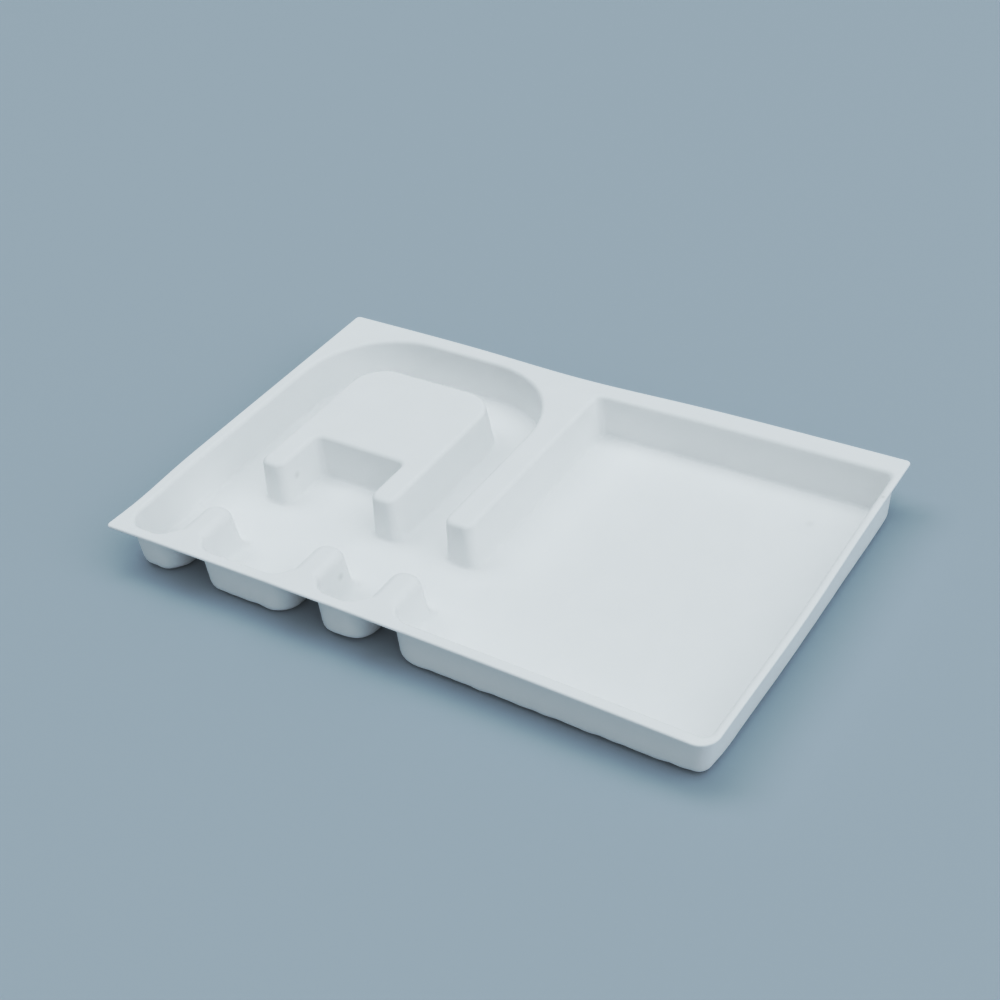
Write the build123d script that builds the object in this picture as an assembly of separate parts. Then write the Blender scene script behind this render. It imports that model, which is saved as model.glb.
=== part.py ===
from build123d import *
import math
import os

# Moulded pulp insert: one thin pressed shell with a rectangular pocket, an arched pocket
# round a raised island, a divider between the two and three tongues along the front rim.
# The origin is the middle of the underside that the insert rests on.
# X runs along the long side, Y from the front to the back, Z up.

# Whole shell
length = 200.0
width = 126.8
pocket_depth = 14.5
wall = 1.0
draft_angle = 3.5

# Rims, from the trimmed edge to the line where a wall meets the top
left_rim = 4.3
right_rim = 2.5
front_rim = 3.7
arch_rim = 5.6
pocket_rim = 7.4

# Arched pocket and the divider beside it
arch_width = 87.2
arch_corner = 30.0
divider_width = 9.3
front_gap = 41.7

# Island in the arched pocket
side_channel = 18.3
back_channel = 17.2
island_corner = 11.0
leg_width = 8.4
notch_length = 18.5

# Tongues on the front rim
tongue_width = 9.2
tongue_reach = 19.8
tongue_corner = 4.0

# Rounds on the upper side of the shell, and the bevels of its trimmed edge and under its bends
flange_corner = 1.5
inside_corner = 2.4
bay_corner = 6.8
root_corner = 6.4
outside_corner = 3.0
mouth_round = 2.0
floor_round = 2.0
trim_bevel = 0.25
bend_bevel = 0.5

# Levels and lines that follow from the sizes
height = pocket_depth + wall
side_step = wall / math.cos(math.radians(draft_angle))
left_line = left_rim - length / 2
right_line = length / 2 - right_rim
front_line = front_rim - width / 2
arch_back = width / 2 - arch_rim
pocket_back = width / 2 - pocket_rim
divider_left = left_line + arch_width
divider_right = divider_left + divider_width
leg_line = front_line + front_gap
tongue_tip = front_line + tongue_reach
island_left = left_line + side_channel
island_right = divider_left - side_channel
island_back = arch_back - back_channel
notch_left = island_left + leg_width
notch_right = island_right - leg_width
notch_back = leg_line + notch_length
tongue_middles = (
    island_left + leg_width / 2,
    island_right - leg_width / 2,
    divider_left + divider_width / 2,
)


def between(left, right, front, back):
    """Rectangle between two lines in X and two lines in Y."""
    middle = Location(((left + right) / 2, (front + back) / 2))
    return middle * Rectangle(right - left, back - front)


def tongue_sheet(middle, step):
    """Outline of one tongue at the top, every wall moved into the pulp by the step."""
    half = tongue_width / 2 - step
    return between(middle - half, middle + half, front_line - step, tongue_tip - step)


def mouth_sheet(step):
    """Outline of the joined pockets at the top, every wall moved into the pulp by the step."""
    left, right, front = left_line - step, right_line + step, front_line - step
    rib_left, rib_right, back = divider_left + step, divider_right - step, arch_back + step
    arch = between(left, rib_left, front, back)
    pocket = between(rib_right, right, front, pocket_back + step)
    sheet = arch + pocket + between(divider_left, divider_right, front, leg_line + step)
    for middle in tongue_middles:
        sheet -= tongue_sheet(middle, step)
    return sheet


def island_sheet(step):
    """Outline of the island at the top, every wall moved into the pulp by the step."""
    left, right, back = island_left + step, island_right - step, island_back - step
    sheet = between(left, right, leg_line + step, back)
    return sheet - between(notch_left - step, notch_right + step, leg_line, notch_back + step)


def arch_points(step):
    """Points of the top at the two large corners of the arched pocket."""
    return [(left_line - step, arch_back + step), (divider_left + step, arch_back + step)]


def island_points(step):
    """Points of the top at the two back corners of the island."""
    return [(island_left + step, island_back - step), (island_right - step, island_back - step)]


def tip_points(step):
    """Points of the top at the tips of the tongues."""
    half = tongue_width / 2 - step
    return [(middle + side, tongue_tip - step) for middle in tongue_middles for side in (-half, half)]


def root_points(step):
    """Points of the top where the tongues leave the front rim."""
    half = tongue_width / 2 - step
    return [(middle + side, front_line - step) for middle in tongue_middles for side in (-half, half)]


def bay_points(step):
    """Point of the top at the front corner of the arched pocket."""
    return [(left_line - step, front_line - step)]


def nook_points(step):
    """Points of the top where two walls of the rectangular pocket or of the notch meet."""
    right, back = right_line + step, pocket_back + step
    pocket = [(right, front_line - step), (right, back), (divider_right - step, back)]
    notch = [(notch_left - step, notch_back + step), (notch_right + step, notch_back + step)]
    return pocket + notch


def end_points(step):
    """Points of the top at the end of the divider and at the toes of the island's legs."""
    divider = (divider_left + step, divider_right - step)
    toes = (island_left + step, notch_left - step, notch_right + step, island_right - step)
    return [(x, leg_line + step) for x in divider + toes]


def uprights(plug, points):
    """Slanted corner edges of the plug that start at the given points of the top."""
    slanted = [edge for edge in plug.edges() if edge.bounding_box().size.Z > pocket_depth / 2]
    tops = [edge.vertices().sort_by(Axis.Z)[-1].center() for edge in slanted]
    picked = []
    for x, y in points:
        gaps = [(top - Vector(x, y, height)).length for top in tops]
        picked.append(slanted[gaps.index(min(gaps))])
    return picked


def pocket_plug(step, depth, grow):
    """Filling of the pockets down to the depth: drafted walls, rounded corners and floor edges."""
    sheet = Pos(0, 0, height) * (mouth_sheet(step) - island_sheet(step))
    plug = extrude(sheet, amount=-depth)
    sides = plug.faces().filter_by(Plane.XY, reverse=True)
    plug = draft(sides, Plane.XY.offset(height), -draft_angle)
    plug = fillet(uprights(plug, arch_points(step)), arch_corner + grow)
    plug = fillet(uprights(plug, island_points(step)), island_corner - grow)
    plug = fillet(uprights(plug, tip_points(step)), tongue_corner - grow)
    plug = fillet(uprights(plug, root_points(step)), root_corner + grow)
    plug = fillet(uprights(plug, bay_points(step)), bay_corner + grow)
    plug = fillet(uprights(plug, nook_points(step)), inside_corner + grow)
    plug = fillet(uprights(plug, end_points(step)), outside_corner - grow)
    return fillet(plug.edges().group_by(Axis.Z)[0], floor_round + grow)


def flange_plate():
    """Flat plate that leaves the rims, the divider, the tongues and the island's top."""
    sheet = RectangleRounded(length, width, flange_corner)
    return Pos(0, 0, height - wall) * extrude(sheet, amount=wall)


def level_faces(body, level):
    """Flat faces of the body at the given height, the largest first."""
    flat = body.faces().filter_by(Plane.XY)
    near = flat.filter_by_position(Axis.Z, level - trim_bevel, level + trim_bevel)
    return near.sort_by(SortBy.AREA, reverse=True)


def wall_edges(body, level):
    """Edges where the rim and the island's top turn into the pocket walls."""
    plate, island_top = level_faces(body, level)[:2]
    return plate.inner_wires()[0].edges() + island_top.outer_wire().edges()


def trim_edges(body):
    """Upper and lower edges of the trimmed outline."""
    upper = level_faces(body, height)[0].outer_wire().edges()
    return upper + level_faces(body, height - wall)[0].outer_wire().edges()


def pulp_shell():
    """The whole insert: plate and filled pockets, hollowed to one wall, with its rims rounded."""
    shell = flange_plate() + pocket_plug(side_step, height, wall) - pocket_plug(0, pocket_depth, 0)
    shell = fillet(wall_edges(shell, height), mouth_round)
    shell = chamfer(wall_edges(shell, height - wall), bend_bevel)
    return chamfer(trim_edges(shell), trim_bevel)


os.makedirs("parts", exist_ok=True)
export_step(pulp_shell(), "parts/pulp_insert.step")
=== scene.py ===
import math

import bpy
import numpy as np
from mathutils import Matrix, Vector
from mathutils.geometry import delaunay_2d_cdt


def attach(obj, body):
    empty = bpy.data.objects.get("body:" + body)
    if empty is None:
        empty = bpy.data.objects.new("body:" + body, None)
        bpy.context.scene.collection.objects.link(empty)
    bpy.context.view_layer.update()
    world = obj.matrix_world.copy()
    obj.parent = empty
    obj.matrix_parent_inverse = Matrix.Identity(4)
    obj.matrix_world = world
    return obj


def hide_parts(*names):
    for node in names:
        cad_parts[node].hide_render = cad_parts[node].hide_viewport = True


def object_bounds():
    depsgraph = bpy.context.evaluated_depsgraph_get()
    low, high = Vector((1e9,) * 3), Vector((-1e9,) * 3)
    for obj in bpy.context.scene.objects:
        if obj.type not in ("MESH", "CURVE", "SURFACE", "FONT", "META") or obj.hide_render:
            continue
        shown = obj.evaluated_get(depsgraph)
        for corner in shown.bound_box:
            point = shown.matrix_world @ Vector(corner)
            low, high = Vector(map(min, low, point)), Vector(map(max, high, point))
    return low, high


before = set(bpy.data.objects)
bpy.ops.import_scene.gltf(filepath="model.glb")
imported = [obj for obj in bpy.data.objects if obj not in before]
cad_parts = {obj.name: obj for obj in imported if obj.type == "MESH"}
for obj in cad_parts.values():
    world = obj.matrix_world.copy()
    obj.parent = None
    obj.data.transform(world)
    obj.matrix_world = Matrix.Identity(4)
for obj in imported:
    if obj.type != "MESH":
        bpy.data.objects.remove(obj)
cad_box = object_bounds()


# The wall that drops from the flange into the pockets and round the raised island.
# It is pressed paper pulp, 1 mm thick, drafted to leave the mould and rounded at its mouth and foot.
# One section is carried round the mouth of the pockets and round the island, once for each face.

MILLIMETRE = 0.001
length, width, height = (np.array(cad_box[1]) - np.array(cad_box[0])) / MILLIMETRE
pulp = 1.0
draft_degrees = 3.5
slope, draft_cosine = math.tan(math.radians(draft_degrees)), math.cos(math.radians(draft_degrees))
mouth_round, foot_round = 1.4, 1.2
tongue_mouth_round, tongue_foot_round = 3.0, 2.4
under_mouth_round, under_foot_round = 0.8, 2.8
lip = 0.1
mouth_steps, run_steps, foot_steps = 7, 6, 6
least_bends, least_straights, straight_step, least_radius = 8, 2, 1.7, 0.1

left_rim, right_rim, front_rim, arch_rim, pocket_rim = 4.3, 2.5, 3.7, 5.6, 7.4
arch_width, divider_width, front_gap = 87.2, 9.3, 41.7
side_channel, back_channel, leg_width, notch_length = 18.3, 17.2, 8.4, 18.5
tongue_width, tongue_reach = 9.2, 19.8
arch_corner, island_corner, tongue_corner, root_corner = 30.0, 11.0, 4.0, 6.4
bay_corner, inside_corner, outside_corner = 6.8, 2.4, 3.0

left, right, front = left_rim - length / 2, length / 2 - right_rim, front_rim - width / 2
arch_back, pocket_back = width / 2 - arch_rim, width / 2 - pocket_rim
divider_left, divider_right = left + arch_width, left + arch_width + divider_width
toe, tip = front + front_gap, front + tongue_reach
island_left, island_right = left + side_channel, divider_left - side_channel
island_back = arch_back - back_channel
notch_left, notch_right = island_left + leg_width, island_right - leg_width
notch_back = toe + notch_length
tongue_middles = [(a + b) / 2 for a, b in (
    (island_left, notch_left), (notch_right, island_right), (divider_left, divider_right),
)]

# Outlines of the wall in the plane of the flange's upper face, as corners (x, y, radius).
# They run round the mouth and round the island with the pocket floors on their left.
tongue_outline = [
    corner
    for middle in tongue_middles
    for corner in (
        (middle - tongue_width / 2, front, root_corner),
        (middle - tongue_width / 2, tip, tongue_corner),
        (middle + tongue_width / 2, tip, tongue_corner),
        (middle + tongue_width / 2, front, root_corner),
    )
]
mouth_outline = np.array([
    (left, front, bay_corner),
    *tongue_outline,
    (right, front, inside_corner),
    (right, pocket_back, inside_corner),
    (divider_right, pocket_back, inside_corner),
    (divider_right, toe, outside_corner),
    (divider_left, toe, outside_corner),
    (divider_left, arch_back, arch_corner),
    (left, arch_back, arch_corner),
])
island_outline = np.array([
    (island_left, toe, outside_corner),
    (island_left, island_back, island_corner),
    (island_right, island_back, island_corner),
    (island_right, toe, outside_corner),
    (notch_right, toe, outside_corner),
    (notch_right, notch_back, inside_corner),
    (notch_left, notch_back, inside_corner),
    (notch_left, toe, outside_corner),
])


def bend(centre, radius, first, last, steps):
    """Arc of a section: points at the radius from the centre, between two angles in degrees."""
    angle = np.radians(np.linspace(first, last, steps + 1))
    return np.stack([centre[0] + radius * np.cos(angle), centre[1] + radius * np.sin(angle)], 1)


def wall_section(start, top, bottom, mouth_radius, foot_radius):
    """Section of one face of the wall as (inset, level) points: flat lip, arc at the mouth,
    straight drafted run, arc at the foot, flat lip. The run's line starts at the given inset in
    the plane of the flange's upper face, and each arc touches this line and its own flat."""
    mouth_level, foot_level = top - mouth_radius, bottom + foot_radius
    mouth_middle = start + slope * (height - mouth_level) - mouth_radius / draft_cosine
    foot_middle = start + slope * (height - foot_level) + foot_radius / draft_cosine
    mouth_arc = bend((mouth_middle, mouth_level), mouth_radius, 90, draft_degrees, mouth_steps)
    foot_arc = bend((foot_middle, foot_level), foot_radius, 180 + draft_degrees, 270, foot_steps)
    run = np.linspace(mouth_arc[-1], foot_arc[0], run_steps + 1)[1:-1]
    return np.concatenate([
        [(mouth_middle - lip, top)], mouth_arc, run, foot_arc, [(foot_middle + lip, bottom)],
    ])


def carried(outline, section, lean):
    """Points [section, steps round the outline, xyz] of a section carried round a closed outline
    of right-angled sides. A section point (inset, level) gives the outline moved to its left by
    the inset. Its corners are arcs whose radius is the corner's own on the wall's line, where
    inset = lean * depth, and which grows or shrinks by the distance from that line. The straight
    sides are shared out evenly between the arcs."""
    inset, level = section.T
    apex, radius = outline[:, :2], outline[:, 2]
    ahead = np.roll(apex, -1, 0) - apex
    run = np.abs(ahead).sum(1)
    ahead = ahead / run[:, None]
    before = np.roll(ahead, 1, 0)
    turn = before[:, 0] * ahead[:, 1] - before[:, 1] * ahead[:, 0]
    left_after = np.stack([-ahead[:, 1], ahead[:, 0]], 1)
    left_before = np.roll(left_after, 1, 0)
    bends = np.maximum(least_bends, radius.astype(int))
    straights = np.maximum(least_straights, (run / straight_step).astype(int))
    corner = np.repeat(np.arange(len(apex)), bends + straights)
    step = np.concatenate([np.arange(n) for n in bends + straights])
    angle = np.minimum(step / bends[corner], 1) * math.pi / 2
    share = (np.maximum(step - bends[corner], 0) / straights[corner])[:, None]
    off_line = (lean * (height - level) - inset)[:, None]
    swing = turn * np.maximum(radius + turn * off_line, least_radius)
    centre = apex + (inset[:, None] + swing)[:, :, None] * (left_before + left_after)

    def on_arc(at, angles):
        """Points on the arcs of the numbered corners: the centre less the swing times a direction,
        which turns from the left of the side before to the left of the side after."""
        across = np.cos(angles)[:, None] * left_before[at] + np.sin(angles)[:, None] * left_after[at]
        return centre[:, at] - swing[:, at, None] * across

    after = (corner + 1) % len(apex)
    flat = on_arc(corner, angle) * (1 - share) + on_arc(after, 0 * angle) * share
    return np.concatenate([flat, np.broadcast_to(level[:, None, None], (*flat.shape[:2], 1))], 2)


shell_points, shell_faces = [], []


def put(points):
    """Adds points to the shell and returns their numbers in the same arrangement."""
    first = sum(len(p) for p in shell_points)
    shell_points.append(points.reshape(-1, 3))
    return first + np.arange(points[..., 0].size).reshape(points.shape[:-1])


def skin(rings, facing_left):
    """Four-sided faces between neighbouring closed rings of point numbers."""
    after = np.roll(rings, -1, 1)
    faces = np.stack([rings[:-1], after[:-1], after[1:], rings[1:]], -1).reshape(-1, 4)
    shell_faces.extend((faces if facing_left else faces[:, ::-1]).tolist())


def eased(value, start, end):
    """Smooth step from 0 at the start to 1 at the end: 3 s^2 - 2 s^3 of the share s of the way."""
    share = np.clip((value - start) / (end - start), 0, 1)
    return share * share * (3 - 2 * share)


beside_share = 0.6


def on_tongues(x, y):
    """1 on the sides and tips of the tongues, which lie within a share of the tongue's width from
    its middle, easing to 0 where they leave the front wall, and 0 elsewhere."""
    beside = [
        (np.abs(x - middle) < beside_share * tongue_width) & (y < tip + pulp)
        for middle in tongue_middles
    ]
    return np.any(beside, 0) * eased(y, front, front + root_corner)


# The tongues are softer than the other walls, so their upper face takes a rounder section.
upper_section = wall_section(0, height, pulp, mouth_round, foot_round)
tongue_section = wall_section(0, height, pulp, tongue_mouth_round, tongue_foot_round)
under_start = -pulp / draft_cosine
lower_section = wall_section(under_start, height - pulp, 0, under_mouth_round, under_foot_round)
crisp_wall = carried(mouth_outline, upper_section, slope)
soft_wall = carried(mouth_outline, tongue_section, slope)
softness = on_tongues(*crisp_wall[len(upper_section) // 2, :, :2].T)[None, :, None]
mouth_upper = put(crisp_wall + softness * (soft_wall - crisp_wall))
mouth_lower = put(carried(mouth_outline, lower_section, slope))
island_upper = put(carried(island_outline, upper_section, slope))
island_lower = put(carried(island_outline, lower_section, slope))
for rings in (mouth_upper, island_upper):
    skin(rings, True)
for rings in (mouth_lower, island_lower):
    skin(rings, False)


# The trimmed edge of the flange.
# The pressed sheet is cut to a rectangle, which leaves a soft round edge of bare fibres.
# A small section with two quarter rounds is carried round it, and one corner is worn rounder.

trim_round, trim_steps = 0.48, 4
flange_corner, worn_corner = 1.5, 5.5
flange_outline = np.array([
    (-length / 2, -width / 2, flange_corner),
    (length / 2, -width / 2, worn_corner),
    (length / 2, width / 2, flange_corner),
    (-length / 2, width / 2, flange_corner),
])
trim_section = np.concatenate([
    [(trim_round + lip, height)],
    bend((trim_round, height - trim_round), trim_round, 90, 180, trim_steps),
    bend((trim_round, height - pulp + trim_round), trim_round, 180, 270, trim_steps),
    [(trim_round + lip, height - pulp)],
])
trim = put(carried(flange_outline, trim_section, 0))
skin(trim, False)


# The flat parts: flange with the divider and the tongues, island top and pocket floors.
# They are the parts of the pulp sheet that stay level between the walls, each with two faces.
# A face is filled between its rings with a net of triangles, fine enough to take the sheet's warp.

net_spacing, net_clear_share, net_tolerance = 3.0, 0.6, 1e-6
net_start = net_spacing / 3


def flat_sheet(rings, facing_up):
    """Level sheet between closed rings of point numbers: Delaunay triangles on the rings' points
    and on a square grid of points that keeps clear of them, kept where a line to the right of a
    triangle's middle crosses the rings an odd number of times."""
    numbers = np.concatenate(rings)
    ring_points = np.concatenate(shell_points)[numbers]
    starts = np.cumsum([0] + [len(ring) for ring in rings])
    links = np.concatenate([
        start + np.stack([np.arange(len(ring)), (np.arange(len(ring)) + 1) % len(ring)], 1)
        for start, ring in zip(starts, rings)
    ])
    across = np.arange(-length / 2, length / 2, net_spacing) + net_start
    along = np.arange(-width / 2, width / 2, net_spacing) + net_start
    grid = np.stack(np.meshgrid(across, along), -1).reshape(-1, 2)
    nearest = np.min(np.linalg.norm(grid[:, None] - ring_points[None, :, :2], axis=2), axis=1)
    grid = grid[nearest > net_clear_share * net_spacing]
    places = np.concatenate([ring_points[:, :2], grid])
    found = delaunay_2d_cdt([Vector(p) for p in places], links.tolist(), [], 0, net_tolerance)
    origin = np.array([o[0] for o in found[3]])
    triangles = origin[np.array(found[2])]
    a, b, c = places[triangles].transpose(1, 0, 2)
    upwards = (b - a)[:, 0] * (c - a)[:, 1] - (b - a)[:, 1] * (c - a)[:, 0] > 0
    triangles[upwards != facing_up] = triangles[upwards != facing_up][:, ::-1]
    x, y = ((a + b + c) / 3).T[:, :, None]
    (ax, ay), (bx, by) = places[links[:, 0]].T, places[links[:, 1]].T
    crossing = ax + (y - ay) * (bx - ax) / np.where(by == ay, 1, by - ay)
    crossed = ((ay > y) != (by > y)) & (x < crossing)
    triangles = triangles[crossed.sum(1) % 2 == 1]
    level = np.full((len(grid), 1), ring_points[0, 2])
    numbers = np.concatenate([numbers, put(np.concatenate([grid, level], 1))])
    shell_faces.extend(numbers[triangles].tolist())


flat_sheet([trim[0], mouth_upper[0]], True)
flat_sheet([trim[-1], mouth_lower[0]], False)
flat_sheet([island_upper[0]], True)
flat_sheet([island_lower[0]], False)
flat_sheet([mouth_upper[-1], island_upper[-1]], True)
flat_sheet([mouth_lower[-1], island_lower[-1]], False)


# The finished shell: the faces above joined into one closed skin of white pulp.
# As it dried, three of its rims drew in, the right one bowed out and its feet stayed a little uneven.
# Every point moves by smooth functions of its place, and both faces of the sheet move alike.

# Zones over which a movement sets in, as distances from the middle of the insert.
front_zone, back_zone, end_zone = (44, 58), (48, width / 2), (84, length / 2)
short_zone, ripple_zone = (46, 56), (50, 58)

# Movements, with the middle and the spread of those that are humps.
front_least, front_draw, front_middle = 0.5, 1.3, 10
back_draw, back_middle, back_spread = 1.8, -8, 34
left_draw, left_middle, left_spread = 1.0, -50, 15
right_bow, bow_middle, bow_spread = 0.8, -12, 32
right_lean = 0.7
corner_tuck, tuck_spread = 0.8, 7
short_foot, short_middle, short_spread = 0.6, -17, 9
floor_ripple, front_ripple = 0.12, 0.2

# Waves of the uneven floors: radians per millimetre along x and along y, and phase.
ripple_waves = ((0.61, 0.23, 0.0), (0.37, -0.52, 1.3), (0.94, 0.11, 2.1))


def hump(value, middle, spread):
    """Bell curve: 1 at the middle, 1/e at the spread away from it."""
    return np.exp(-((value - middle) / spread) ** 2)


def dried(points):
    """Points moved as the drying sheet moved. The rims draw in by an amount that grows with height,
    along the front as a parabola, at the back and at the left as a hump, and the right rim bows out
    as a hump. The foot of the right wall leans in towards the front and is tucked in at both its
    corners. The foot between the two right tongues stands short, and a sum of sines lifts the
    floors unevenly, most along the front."""
    x, y, z = points.T
    rise = z / height
    fall = 1 - rise
    front_bow = front_least + front_draw * (1 - ((x - front_middle) / (length / 2)) ** 2)
    back_bow = back_draw * hump(x, back_middle, back_spread)
    dy = front_bow * rise * eased(-y, *front_zone) - back_bow * rise * eased(y, *back_zone)
    dx = left_draw * hump(y, left_middle, left_spread) * rise * eased(-x, *end_zone)
    dx += right_bow * hump(y, bow_middle, bow_spread) * rise * eased(x, *end_zone)
    tuck = corner_tuck * hump(x, right, tuck_spread) * hump(np.abs(y), -front, tuck_spread) * fall
    dx -= tuck + right_lean * eased(-y, 0, width / 2) * eased(x, end_zone[0], right) * fall
    dy -= np.sign(y) * tuck
    ripple = sum(np.sin(by_x * x + by_y * y + phase) for by_x, by_y, phase in ripple_waves)
    ripple_size = floor_ripple + front_ripple * eased(-y, *ripple_zone)
    short = short_foot * hump(x, short_middle, short_spread) * eased(-y, *short_zone)
    lift = short + ripple_size * (1 + ripple / len(ripple_waves))
    return points + np.stack([dx, dy, lift * fall], 1)


points = dried(np.concatenate(shell_points))
used = np.unique(np.concatenate([np.ravel(f) for f in shell_faces]))
renumber = np.zeros(len(points), int)
renumber[used] = np.arange(len(used))
points = points[used]
faces = [renumber[f].tolist() for f in shell_faces]
shell_mesh = bpy.data.meshes.new("pulp_shell")
shell_mesh.from_pydata((points * MILLIMETRE).tolist(), [], faces)
shell_mesh.shade_smooth()
shell = bpy.data.objects.new("pulp_shell", shell_mesh)
bpy.context.scene.collection.objects.link(shell)

on_trim = np.isin(used, trim).astype(float)
shell_mesh.attributes.new("cut_edge", "FLOAT", "POINT").data.foreach_set("value", on_trim)

# White pulp has a faint mottle, soft lumps and fine fibres, which stand up where the sheet was cut.
mottle_size, mottle_detail, mottle_low, mottle_high = 14.0, 3.0, 0.35, 0.65
dull_white, clear_white = (0.958, 0.959, 0.958, 1), (0.970, 0.971, 0.970, 1)
lump_size, lump_height, lump_strength = 3.0, 0.05, 0.6
fibre_size, fibre_height, pressed_strength, cut_strength = 0.5, 0.04, 0.25, 1.0
bump_detail = 2.0
pulp_roughness, pulp_specular = 0.85, 0.3

# Faint stains and painted shade as x, y and z of the middle, reach and strength: stains in the notch,
# on the second tongue, on the right rim and on the floor of the rectangular pocket, and painted shade
# on the floor beside the tip of each tongue, where the tongue's foot shades it.
# One darker colour serves both the real stains and the painted shade beside the tongues.
stain_and_shade_colour = (0.45, 0.44, 0.41, 1)
stains_and_shade = [
    (notch_left + 0.4, toe + 5.9, 8.6, 1.8, 0.20),
    (tongue_middles[1] + 5.1, tip - 5.3, 8.9, 1.8, 0.24),
    (length / 2 - 1.0, 44.6, height, 0.9, 0.25),
    (78.6, 41.4, pulp, 2.2, 0.10),
    # Painted shade: the floor darkened at the right foot of each tongue's tip, where the tongue shades
    # it.
    *((middle + 4.8, tip + 0.5, pulp, 2.8, 0.10) for middle in tongue_middles),
]

white_pulp = bpy.data.materials.new("white_pulp")
white_pulp.use_nodes = True
pulp_tree = white_pulp.node_tree


def shade(kind, values, **settings):
    """Adds a shader node: settings by name, then its inputs by number or name, each a value or an
    output to join. Returns its outputs."""
    made = pulp_tree.nodes.new(kind)
    for name, value in settings.items():
        setattr(made, name, value)
    for name, value in values.items():
        if isinstance(value, bpy.types.NodeSocket):
            pulp_tree.links.new(value, made.inputs[name])
        else:
            made.inputs[name].default_value = value
    return made.outputs


place = shade("ShaderNodeTexCoord", {})["Object"]


def cloud(size, detail):
    """Noise with features of about the given size in millimetres, from 0 to 1."""
    noise = {"Vector": place, "Scale": 1 / (size * MILLIMETRE), "Detail": detail}
    return shade("ShaderNodeTexNoise", noise)[0]


def mixed(share, first, second):
    """Colour that goes from the first to the second as the share goes from 0 to 1."""
    return shade("ShaderNodeMix", {0: share, 6: first, 7: second}, data_type="RGBA")[2]


def raised(strength, rise, pattern, **below):
    """Normal of a surface on which the pattern stands up by the rise in millimetres."""
    bump = {"Strength": strength, "Distance": rise * MILLIMETRE, "Height": pattern, **below}
    return shade("ShaderNodeBump", bump)[0]


mottle_cloud = cloud(mottle_size, mottle_detail)
mottle = shade("ShaderNodeMapRange", {0: mottle_cloud, 1: mottle_low, 2: mottle_high})[0]
pale = mixed(mottle, dull_white, clear_white)
# Each entry darkens the pulp towards that colour near its middle: real stains, and painted shade by
# the tongues.
for x, y, z, reach, strength in stains_and_shade:
    spot = (x * MILLIMETRE, y * MILLIMETRE, z * MILLIMETRE)
    away = shade("ShaderNodeVectorMath", {0: place, 1: spot}, operation="DISTANCE")["Value"]
    fading = {0: away, 1: reach * MILLIMETRE, 2: 0.0, 3: 0.0, 4: strength}
    stain_and_shade_share = shade("ShaderNodeMapRange", fading, interpolation_type="SMOOTHSTEP")[0]
    pale = mixed(stain_and_shade_share, pale, stain_and_shade_colour)
cut = shade("ShaderNodeAttribute", {}, attribute_name="cut_edge")["Fac"]
grain = shade("ShaderNodeMapRange", {0: cut, 3: pressed_strength, 4: cut_strength})[0]
lumps = raised(lump_strength, lump_height, cloud(lump_size, bump_detail))
fibres = raised(grain, fibre_height, cloud(fibre_size, bump_detail), Normal=lumps)
surface = pulp_tree.nodes["Principled BSDF"]
pulp_tree.links.new(pale, surface.inputs["Base Color"])
pulp_tree.links.new(fibres, surface.inputs["Normal"])
surface.inputs["Roughness"].default_value = pulp_roughness
surface.inputs["Specular IOR Level"].default_value = pulp_specular

shell_mesh.materials.append(white_pulp)
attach(shell, "root")
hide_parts("pulp_insert")


# The floor: one plain sheet of pale blue-grey paper that the insert lies on.
# It runs on for metres on all sides, a tenth of a millimetre below the insert's feet.

floor_reach, floor_level = 5, -0.0001
floor_signs = ((-1, -1), (1, -1), (1, 1), (-1, 1))
floor_colour, floor_roughness = (0.488, 0.547, 0.597, 1), 0.9
floor_corners = [(x * floor_reach, y * floor_reach, floor_level) for x, y in floor_signs]
floor_mesh = bpy.data.meshes.new("floor")
floor_mesh.from_pydata(floor_corners, [], [(0, 1, 2, 3)])
floor = bpy.data.objects.new("floor", floor_mesh)
bpy.context.scene.collection.objects.link(floor)
paper = bpy.data.materials.new("floor_paper")
paper.use_nodes = True
paper.node_tree.nodes["Principled BSDF"].inputs["Base Color"].default_value = floor_colour
paper.node_tree.nodes["Principled BSDF"].inputs["Roughness"].default_value = floor_roughness
floor_mesh.materials.append(paper)


# Soft studio light: a large softbox high on the right, three smaller ones and an evenly pale room.
# The picture is developed with a camera's tone curve, which deepens the shadows and softens the
# brightest tones.

light_colour = (0.925, 1.0, 1.04)
box_distance = 4.5
room_light = 0.23


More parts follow.
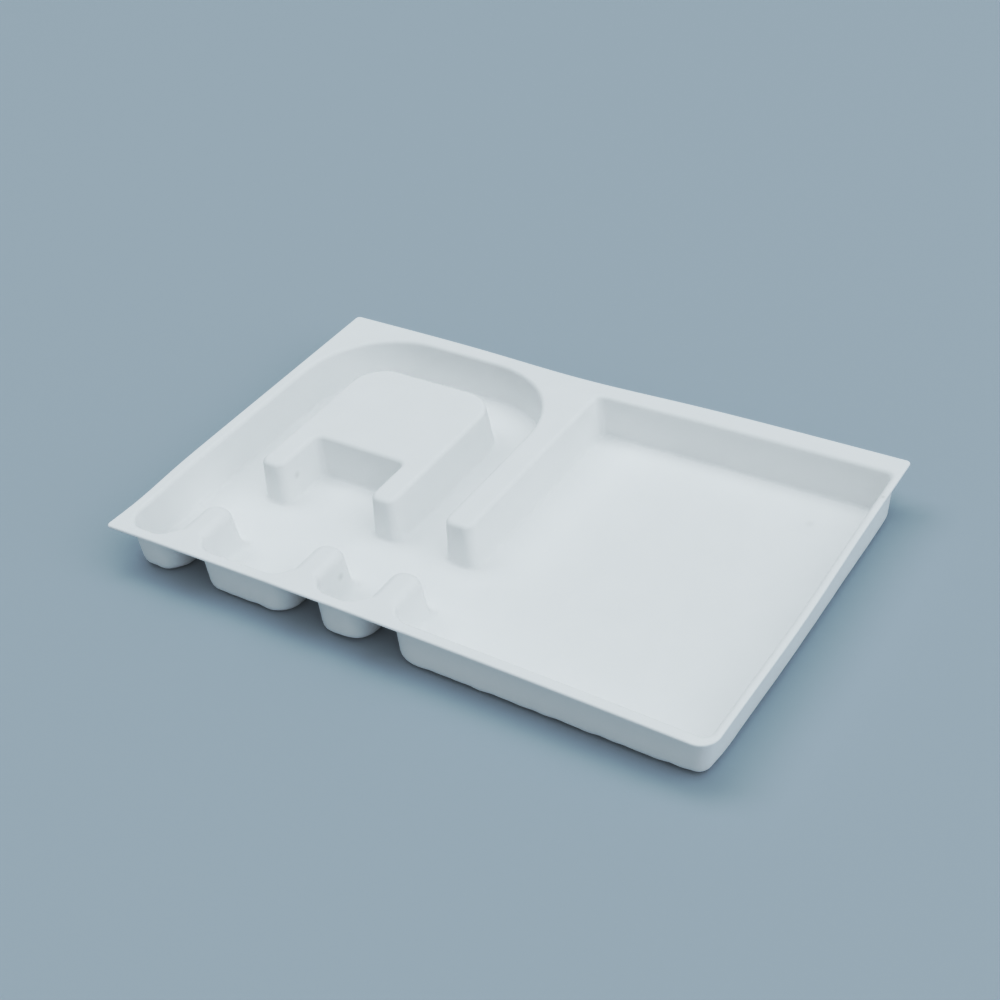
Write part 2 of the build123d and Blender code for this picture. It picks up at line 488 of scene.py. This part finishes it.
def softbox(name, azimuth, elevation, size, power):
    """Square area light at the box distance from the insert, in the direction given in degrees,
    turned to it. The size is its side in metres, and the power is in watts."""
    round_about, up = math.radians(azimuth), math.radians(elevation)
    level = math.cos(up)
    way = Vector((level * math.cos(round_about), level * math.sin(round_about), math.sin(up)))
    lamp = bpy.data.lights.new(name, "AREA")
    lamp.size = size
    lamp.energy = power
    lamp.color = light_colour
    box = bpy.data.objects.new(name, lamp)
    box.location = box_distance * way
    box.rotation_euler = (-way).to_track_quat("-Z", "Y").to_euler()
    bpy.context.scene.collection.objects.link(box)


softbox("right_large", azimuth=0, elevation=55, size=4.8, power=36.6)
softbox("right_low", azimuth=0, elevation=15, size=2.1, power=7.3)
softbox("back_left_high", azimuth=120, elevation=75, size=2.1, power=13.9)
softbox("left_high", azimuth=180, elevation=58, size=2.1, power=14.5)
room = bpy.data.worlds.new("room")
room.use_nodes = True
room.node_tree.nodes["Background"].inputs["Color"].default_value = (*light_colour, 1)
room.node_tree.nodes["Background"].inputs["Strength"].default_value = room_light
bpy.context.scene.world = room

# Tone curve: shown = t^c / (t^c + m^c) * (1 + m^c) for a tone t, the contrast c and the middle grey m.
middle_grey, contrast = 0.35, 2.0
curve_tones = (0.1, 0.25, 0.45, 0.65, 0.85)
view = bpy.context.scene.view_settings
view.view_transform = "Standard"
view.use_curve_mapping = True
combined_curve = view.curve_mapping.curves[3]
for tone in curve_tones:
    lit, grey = tone ** contrast, middle_grey ** contrast
    combined_curve.points.new(tone, lit / (lit + grey) * (1 + grey))
view.curve_mapping.update()


# The camera, at the photograph's viewing angle.
# It looks down over the insert's front right corner from about half a metre away, a little rolled,
# with a lens of about 58 mm on a 36 mm sensor.

camera_place = (0.225668, -0.294016, 0.299256)
azimuth, elevation, roll = math.radians(37.572), math.radians(37.665), math.radians(-7.668)
lens, sensor, nearest_seen = 57.665, 36.0, 0.01
camera = bpy.data.objects.new("camera", bpy.data.cameras.new("camera"))
camera.data.lens = lens
camera.data.sensor_width = sensor
camera.data.clip_start = nearest_seen
camera.matrix_world = (
    Matrix.Translation(camera_place)
    @ Matrix.Rotation(azimuth, 4, "Z")
    @ Matrix.Rotation(math.pi / 2 - elevation, 4, "X")
    @ Matrix.Rotation(roll, 4, "Z")
)
bpy.context.scene.collection.objects.link(camera)
bpy.context.scene.camera = camera
